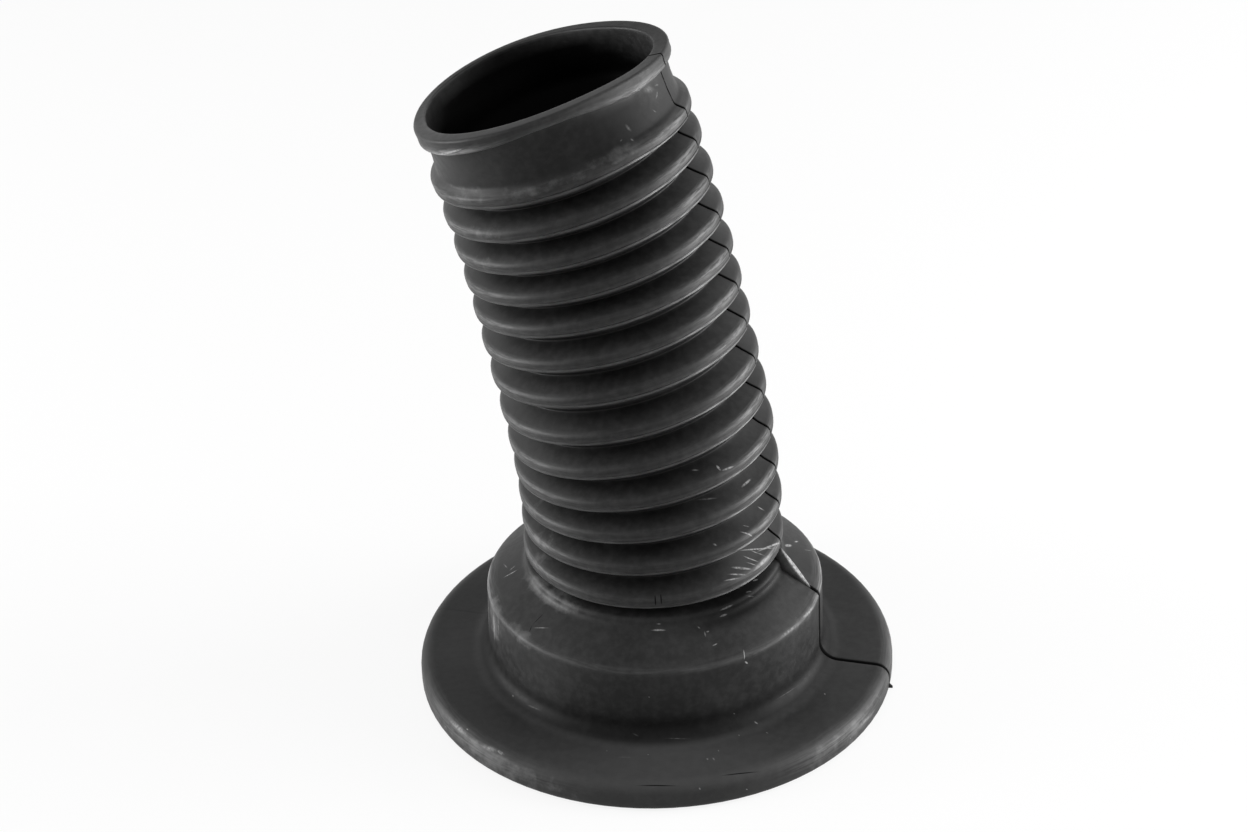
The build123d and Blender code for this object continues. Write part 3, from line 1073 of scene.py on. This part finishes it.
@dataclass
class Wear:
    """Where the skin is painted paler or darker, as a share from 0 to 1 for each point: wear and bloom,
    painted highlights and light, and painted shade.

    Heights and widths are in mm. Lobes, and the spans called round, are in degrees round the boot.
    """

    section: Section
    azimuth: np.ndarray
    base: Base
    folds: Folds
    collar: Collar
    # More paleness on the right front's edges: a painted highlight where the right lamp glints.
    chafed_and_glinting: Lobe = Lobe(-38.0, 22.0, 0.4)
    proud: tuple[float, float] = (-1.3, -0.2)
    # The lobes put painted highlights over the edges' wear, mostly at the left and right where the side lamps
    # glint.
    roll: Ring = Ring(0.9, 0.9, 0.0, (Lobe(-29.0, 15.0, 0.65), Lobe(-156.0, 23.0, 0.38)))
    edge: Ring = Ring(-1.5, 0.45, 0.0, (Lobe(-43.0, 15.0, 1.4),))
    bead: Ring = Ring(0.9, 0.8, 35.0, (Lobe(-36.0, 20.0, 0.65), Lobe(-131.0, 18.0)))
    hub: Ring = Ring(
        0.0, 0.65, 46.5, (Lobe(-3.0, 20.0, 0.8), Lobe(179.0, 16.0, 0.8), Lobe(-179.0, 16.0, 0.8))
    )
    rim: Ring = Ring(
        -3.2, 2.4, 66.5, (Lobe(-4.0, 18.0, 0.32), Lobe(-44.0, 13.0, 0.35), Lobe(-143.0, 22.0, 0.3))
    )
    # Painted shade: deep inside the mouth, reaching less deep where these lobes say the wall is lit; then in
    # the hub's foot corner, on the neck and under the foot crest at the right front, in the valleys, and on
    # the lip's top at the right and back.
    lit: tuple[Lobe, ...] = (Lobe(10.0, 42.0), Lobe(180.0, 35.0, 0.4), Lobe(-180.0, 35.0, 0.4))
    dark_depth: float = 2.5
    lit_depth: float = 21.5
    deep: tuple[float, float] = (0.06, 1.0)
    corner: Span = Span(-0.1, 1.2, 4.2, 9.0)
    corner_shade: float = 0.56
    neck: Span = Span(127.5, 129.5, 136.5, 138.5)
    neck_lobe: Lobe = Lobe(-52.0, 38.0, 0.64)
    under_foot: Span = Span(-10.5, -8.4, -4.2, -3.2)
    under_foot_lobe: Lobe = Lobe(-52.0, 27.0, 0.8)
    valley: tuple[float, float] = (0.6, 4.6)
    lowest_valley: float = -4.5
    valley_round: Span = Span(-165.0, -125.0, -62.0, -28.0)
    valley_shade: float = 0.5
    lip_under: tuple[float, float] = (0.3, 0.05)
    lip_round: Span = Span(-32.0, 0.0, 110.0, 170.0)
    lip_shade: float = 0.45
    # Painted light on the flange's front, fading towards the rim.
    flange_light_lobe: Lobe = Lobe(-92.0, 42.0)
    flange_light_top: tuple[float, float] = (0.1, 1.6)
    flange_light_rim: tuple[float, float] = (-3.6, -0.9)
    rim_flange_light: float = 0.4
    patch_fade_low: float = 0.8
    patch_fade_high: float = 1.5

    def __post_init__(self) -> None:
        """Works out the azimuths in degrees from -180 to 180, and the height over the flange."""
        self.degrees = (np.degrees(self.azimuth) + 180.0) % 360.0 - 180.0
        self.over_flange = self.section.along - lowered(self.base.rim).along

    def round_it(self, lobes: Sequence[Lobe]) -> np.ndarray:
        """The shares of these lobes at each point, added up."""
        return sum(lobe.share(self.degrees) for lobe in lobes)

    def tags(self) -> dict[str, np.ndarray]:
        """Every share by the name that the rubber reads it by."""
        wear_and_glint = self.section.wear_and_glint[:, None] * (1.0 + self.chafed_and_glinting.share(self.degrees))
        return {
            "wear_and_glint": wear_and_glint,
            "edge_wear_and_glint": self.edge_wear_and_glint(),
            "bloom_and_highlight": self.bloom_and_highlight(),
            "inner": self.inner(),
            "painted_flange_light": self.painted_flange_light(),
        }

    def edge_wear_and_glint(self) -> np.ndarray:
        """Where the skin is painted pale, from handling wear and as painted highlights where the side lamps
        glint: the crests, the lip's lower edge, hub and rim.

        Returns:
            A share for each point.
        """
        radius, along = self.section.radius, self.section.along
        roll, edge = np.zeros(len(along)), np.zeros(len(along))
        for fold in range(self.folds.count):
            rise = along - self.folds.middle(fold)
            proud = smooth_step(radius - self.folds.crest(fold), *self.proud)
            roll = np.maximum(roll, proud * bell(rise, self.roll.rise, self.roll.half))
            edge = np.maximum(edge, proud * bell(rise, self.edge.rise, self.edge.half))
        worn_and_glinting = roll[:, None] * self.round_it(self.roll.lobes) + edge[:, None] * self.round_it(self.edge.lobes)
        edges = (self.collar.neck_top.along, lowered(self.base.hub).along, lowered(self.base.rim).along)
        for ring, height in zip((self.bead, self.hub, self.rim), edges):
            near = bell(along - height, ring.rise, ring.half) * (radius > ring.least)
            worn_and_glinting = worn_and_glinting + near[:, None] * self.round_it(ring.lobes)
        return np.clip(worn_and_glinting, 0.0, 1.0) * self.section.outside[:, None]

    def inner(self) -> np.ndarray:
        """Where shade is painted into the skin, dark and without sheen: deep inside, in valleys and corners,
        on the neck and under the foot crest at the right, and on the lip.

        Returns:
            A share for each point.
        """
        section, lip_top = self.section, self.collar.lip_top.along
        outside = section.outside[:, None]
        reach = self.dark_depth + self.lit_depth * self.round_it(self.lit)
        painted_shade = (1.0 - outside) * smooth_step((lip_top - section.along)[:, None] / reach, *self.deep)
        crest = np.interp(section.along, (0.0, FOLD_LENGTH), (self.folds.foot_radius, self.folds.top_radius))
        folded = (section.along > self.lowest_valley) * (section.along < FOLD_LENGTH)
        valley = smooth_step(crest - section.radius, *self.valley) * folded
        lip = smooth_step(section.along, *(lip_top - under for under in self.lip_under))
        for part, share in (
            (self.corner.share(self.over_flange)[:, None] * outside, self.corner_shade),
            (self.neck.share(section.along)[:, None] * outside, self.neck_lobe.share(self.degrees)),
            (
                self.under_foot.share(section.along)[:, None] * outside,
                self.under_foot_lobe.share(self.degrees),
            ),
            (valley[:, None] * outside, self.valley_shade * self.valley_round.share(self.degrees)),
            (lip[:, None], self.lip_shade * self.lip_round.share(self.degrees)),
        ):
            painted_shade = np.maximum(painted_shade, part * share)
        return painted_shade

    def painted_flange_light(self) -> np.ndarray:
        """Where light is painted onto the flange, most of all at its front.

        Returns:
            A share for each point.
        """
        level = 1 - smooth_step(self.over_flange, *self.flange_light_top)
        inwards = smooth_step(self.over_flange, *self.flange_light_rim)
        level = level * (self.rim_flange_light + (1 - self.rim_flange_light) * inwards)
        return self.flange_light_lobe.share(self.degrees) * (level * self.section.outside)[:, None]

    def bloom_and_highlight(self) -> np.ndarray:
        """Where chalky bloom and painted highlights lie in soft spots, most of all round the collar's foot
        and root ring.

        Returns:
            A share for each point.
        """
        along = self.section.along[:, None]
        amount = np.zeros(self.degrees.shape)
        for middle, half, low, high, strength in BLOOM_AND_HIGHLIGHT_PATCHES:
            up_it = Span(low - self.patch_fade_low, low, high, high + self.patch_fade_high)
            patch = Lobe(middle, half, strength).share(self.degrees) * up_it.share(along)
            amount = np.maximum(amount, patch)
        return amount * self.section.outside[:, None]


@dataclass
class Boot:
    """The whole moulding as one closed skin."""

    axis: TubeAxis = field(default_factory=TubeAxis)
    base: Base = field(default_factory=Base)
    folds: Folds = field(default_factory=Folds)
    collar: Collar = field(default_factory=Collar)
    mouth: MouthSet = field(default_factory=MouthSet)
    line: PartingLine = field(default_factory=PartingLine)
    finish: MouldedRubber = field(default_factory=MouldedRubber)

    def corners(self) -> list[Corner]:
        """The wall's corners in order: up the outside, over the lip and down the inside."""
        outside = self.base.outside() + self.folds.outside() + self.collar.outside()
        return outside + self.collar.inside() + self.folds.inside() + self.base.inside()

    def skin(self) -> tuple[Section, np.ndarray, np.ndarray, np.ndarray]:
        """Places every point of the skin.

        Returns:
            The section, the points in mm as rings by columns by three, each point's azimuth in
            radians, and its painted shade on the parting line.
        """
        section = SectionMaker().make(self.corners())
        angle, offset, depth, dark, back = self.line.columns()
        ahead = np.stack([np.roll(part, -1) - np.roll(part, 1) for part in (section.radius, section.along)])
        ahead /= np.linalg.norm(ahead, axis=0)
        outside = section.outside[:, None]
        widths = np.interp(section.along, self.line.heights, self.line.widths)
        azimuth = angle[None, :] + offset[None, :] * (widths / section.radius)[:, None]
        press = depth[None, :] * outside
        radius = section.radius[:, None] - press * ahead[1][:, None]
        along = section.along[:, None] + press * ahead[0][:, None]
        along = along + self.line.slipped(section.along[:, None], back[None, :], outside)
        radius, along = self.mouth.apply(radius, along, azimuth, outside)
        points = self.axis.bend(radius, along, azimuth)
        return section, points, azimuth, dark[None, :] * outside

    def build(self) -> bpy.types.Object:
        """Makes the closed mesh with its tags.

        Returns:
            The boot.
        """
        section, points, azimuth, dark = self.skin()
        rings, columns = points.shape[:2]
        ring, column = np.meshgrid(np.arange(rings), np.arange(columns), indexing="ij")
        low, high = ring * columns, (ring + 1) % rings * columns
        after = (column + 1) % columns
        corners = np.stack([low + column, low + after, high + after, high + column], axis=-1)
        flat = (points.reshape(-1, 3) * MM).tolist()
        made = add_piece("boot_skin", flat, corners.reshape(-1, 4).tolist(), "bellows_boot_skin")
        made.data.shade_smooth()
        self.unroll(made.data, section, azimuth)
        wear = Wear(section, azimuth, self.base, self.folds, self.collar)
        for name, values in {**wear.tags(), "seam_shade": dark}.items():
            add_tag(made.data, name, values)
        return made

    def unroll(self, mesh: bpy.types.Mesh, section: Section, azimuth: np.ndarray) -> None:
        """Lays a map over the skin in mm: round the ring at the crest's radius, and up the wall.

        Args:
            mesh: The skin's mesh.
            section: Its section.
            azimuth: Azimuth of each point in radians.
        """
        round_it = np.hstack([azimuth, azimuth[:, :1] + 2 * math.pi]) * self.folds.foot_radius
        round_it = np.vstack([round_it, round_it[:1]])
        up_it = np.broadcast_to(section.run[:, None], round_it.shape)
        places = np.stack([round_it, up_it], axis=-1)
        low, high = places[:-1], places[1:]
        around = np.stack([low[:, :-1], low[:, 1:], high[:, 1:], high[:, :-1]], axis=2)
        layer = mesh.uv_layers.new(name=SKIN_MAP)
        layer.uv.foreach_set("vector", around.astype(np.float32).ravel())

    def dress(self, boot: bpy.types.Object, fins: Sequence[bpy.types.Object]) -> None:
        """Gives the skin and its fins their rubber.

        Args:
            boot: The skin.
            fins: The small pieces that stand on it.
        """
        scuffs_and_highlights, cracks_and_shade_lines = ([Stroke(tuple(row[:3]), *row[3:]) for row in rows] for rows in (SCUFFS_AND_HIGHLIGHTS, CRACKS_AND_SHADE_LINES))
        rubber = self.finish.make(scuffs_and_highlights, cracks_and_shade_lines)
        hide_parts(NODE)
        for piece in (boot, *fins):
            piece.data.materials.append(rubber)
            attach(piece, BODY)


@dataclass
class Studio:
    """Plain floor, soft lamps, pale world and the camera."""

    floor_size: float = 1.8
    floor_colour: str = "#f4f4f4"
    shadow_share: float = 0.14
    zenith_light: float = 1.42
    zenith_edge: float = 0.6
    lens: float = 67.5
    sensor: float = 36.0
    elevation: float = 30.22
    roll: float = -1.94
    camera_place: tuple[float, float, float] = (-7.301, -568.173, 415.326)
    clip: tuple[float, float] = (0.01, 20.0)
    floor_drop: float = 0.0002

    def build_floor(self) -> bpy.types.Object:
        """Makes the floor, which shows white and keeps a little of the shadow.

        Returns:
            The floor.
        """
        half = self.floor_size / 2
        corners = [(-half, -half, 0), (half, -half, 0), (half, half, 0), (-half, half, 0)]
        floor = add_piece("floor", corners, [(0, 1, 2, 3)])
        floor.location.z = -self.floor_drop
        made = bpy.data.materials.new("Matt_White_Paper")
        made.use_nodes = True
        tree = made.node_tree
        tree.nodes.clear()
        paper = add_node(tree, "BsdfDiffuse", None, {"Color": linear(self.floor_colour)})
        white = add_node(tree, "Emission", None, {"Color": (1, 1, 1, 1), "Strength": 1.0})
        parts = {0: self.seen(tree), 1: 1 - self.shadow_share}
        share = add_node(tree, "Math", {"operation": "MULTIPLY"}, parts)
        shaders = {0: share.outputs[0], 1: paper.outputs[0], 2: white.outputs[0]}
        blend = add_node(tree, "MixShader", None, shaders)
        add_node(tree, "OutputMaterial", None, {"Surface": blend.outputs[0]})
        floor.data.materials.append(made)
        return floor

    def seen(self, tree: bpy.types.NodeTree) -> bpy.types.NodeSocket:
        """Tells the rays that show the background: camera, glossy and transmission.

        Args:
            tree: The node tree of the floor's material or of the world.

        Returns:
            A socket that is 1 for those rays and 0 for the others.
        """
        path = add_node(tree, "LightPath")
        shown = path.outputs["Is Camera Ray"]
        for ray in ("Is Glossy Ray", "Is Transmission Ray"):
            rays = {0: shown, 1: path.outputs[ray]}
            shown = add_node(tree, "Math", {"operation": "MAXIMUM"}, rays).outputs[0]
        return shown

    def build_world(self) -> None:
        """Makes the world, white where it is seen and softer where it only lights."""
        world = bpy.data.worlds.new("pale_room")
        world.use_nodes = True
        tree = world.node_tree
        tree.nodes.clear()
        ray = add_node(tree, "TexCoord").outputs["Generated"]
        height = add_node(tree, "SeparateXYZ", None, {0: ray}).outputs["Z"]
        fade = {"Value": height, "From Min": self.zenith_edge, "To Max": self.zenith_light}
        unseen = add_node(tree, "MapRange", None, fade).outputs[0]
        levels = {"Value": self.seen(tree), "To Min": unseen, "To Max": 1.0}
        strength = add_node(tree, "MapRange", None, levels).outputs[0]
        glow = add_node(tree, "Background", None, {"Color": (1, 1, 1, 1), "Strength": strength})
        add_node(tree, "OutputWorld", None, {"Surface": glow.outputs[0]})
        bpy.context.scene.world = world

    def build_lamps(self) -> int:
        """Adds the soft lamps.

        Returns:
            How many there are.
        """
        for name, place, aim, size, watts in LAMPS:
            lamp = bpy.data.lights.new(name, "AREA")
            lamp.shape = "RECTANGLE"
            lamp.size, lamp.size_y = size
            lamp.energy = watts
            stand = bpy.data.objects.new(name, lamp)
            bpy.context.scene.collection.objects.link(stand)
            stand.location = place
            stand.rotation_euler = (Vector(aim) - Vector(place)).to_track_quat("-Z", "Y").to_euler()
        return len(LAMPS)

    def build_camera(self) -> bpy.types.Object:
        """Makes the camera: 30 degrees above the floor, rolled a little.

        Returns:
            The camera.
        """
        elevation, roll = math.radians(self.elevation), math.radians(self.roll)
        right = Vector((1, 0, 0))
        down = Vector((0, -math.sin(elevation), -math.cos(elevation)))
        ahead = Vector((0, math.cos(elevation), -math.sin(elevation)))
        cosine, sine = math.cos(roll), math.sin(roll)
        right, down = right * cosine - down * sine, right * sine + down * cosine
        data = bpy.data.cameras.new("camera")
        data.sensor_fit = "HORIZONTAL"
        data.sensor_width, data.lens = self.sensor, self.lens
        data.clip_start, data.clip_end = self.clip
        camera = bpy.data.objects.new("camera", data)
        bpy.context.scene.collection.objects.link(camera)
        turn = Matrix((right, -down, -ahead)).transposed().to_4x4()
        camera.matrix_world = Matrix.Translation(Vector(self.camera_place) * MM) @ turn
        bpy.context.scene.camera = camera
        return camera

    def build(self) -> None:
        """Builds the whole studio."""
        self.build_floor()
        self.build_world()
        lamps = self.build_lamps()
        self.build_camera()
        scene = bpy.context.scene
        scene.view_settings.view_transform = "Standard"
        LOG.info("studio: floor, world, camera and %d lamps", lamps)


# Name, place, aim, width and height in metres, and watts.
LAMPS = (
    ("left_softbox", (-1.0, 0.0, 0.13), (0.0, 0.0, 0.1), (0.6, 0.24), 10.1),
    ("left_upper_softbox", (-0.9, 0.0, 0.55), (0.0, 0.0, 0.1), (0.6, 0.3), 1.8),
    ("right_softbox", (1.0, 0.05, 0.13), (0.0, 0.0, 0.1), (0.7, 0.24), 10.9),
    ("right_upper_softbox", (0.9, 0.0, 0.55), (0.0, 0.0, 0.1), (0.6, 0.3), 5.7),
)


def plain(corner: Vector) -> list[float]:
    """A corner as a plain list of numbers."""
    return [float(value) for value in corner]


def main() -> None:
    """Builds every piece in order."""
    logging.basicConfig(level=logging.INFO, format="%(name)s: %(message)s")
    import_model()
    boot = Boot()
    skin = boot.build()
    fins = (Web().build(), RimTag().build())
    boot.dress(skin, fins)
    for piece in (skin, *fins):
        LOG.info("%s: %d faces", piece.name, len(piece.data.polygons))
    Studio().build()
    bpy.context.view_layer.update()


if __name__ == "__main__":
    main()
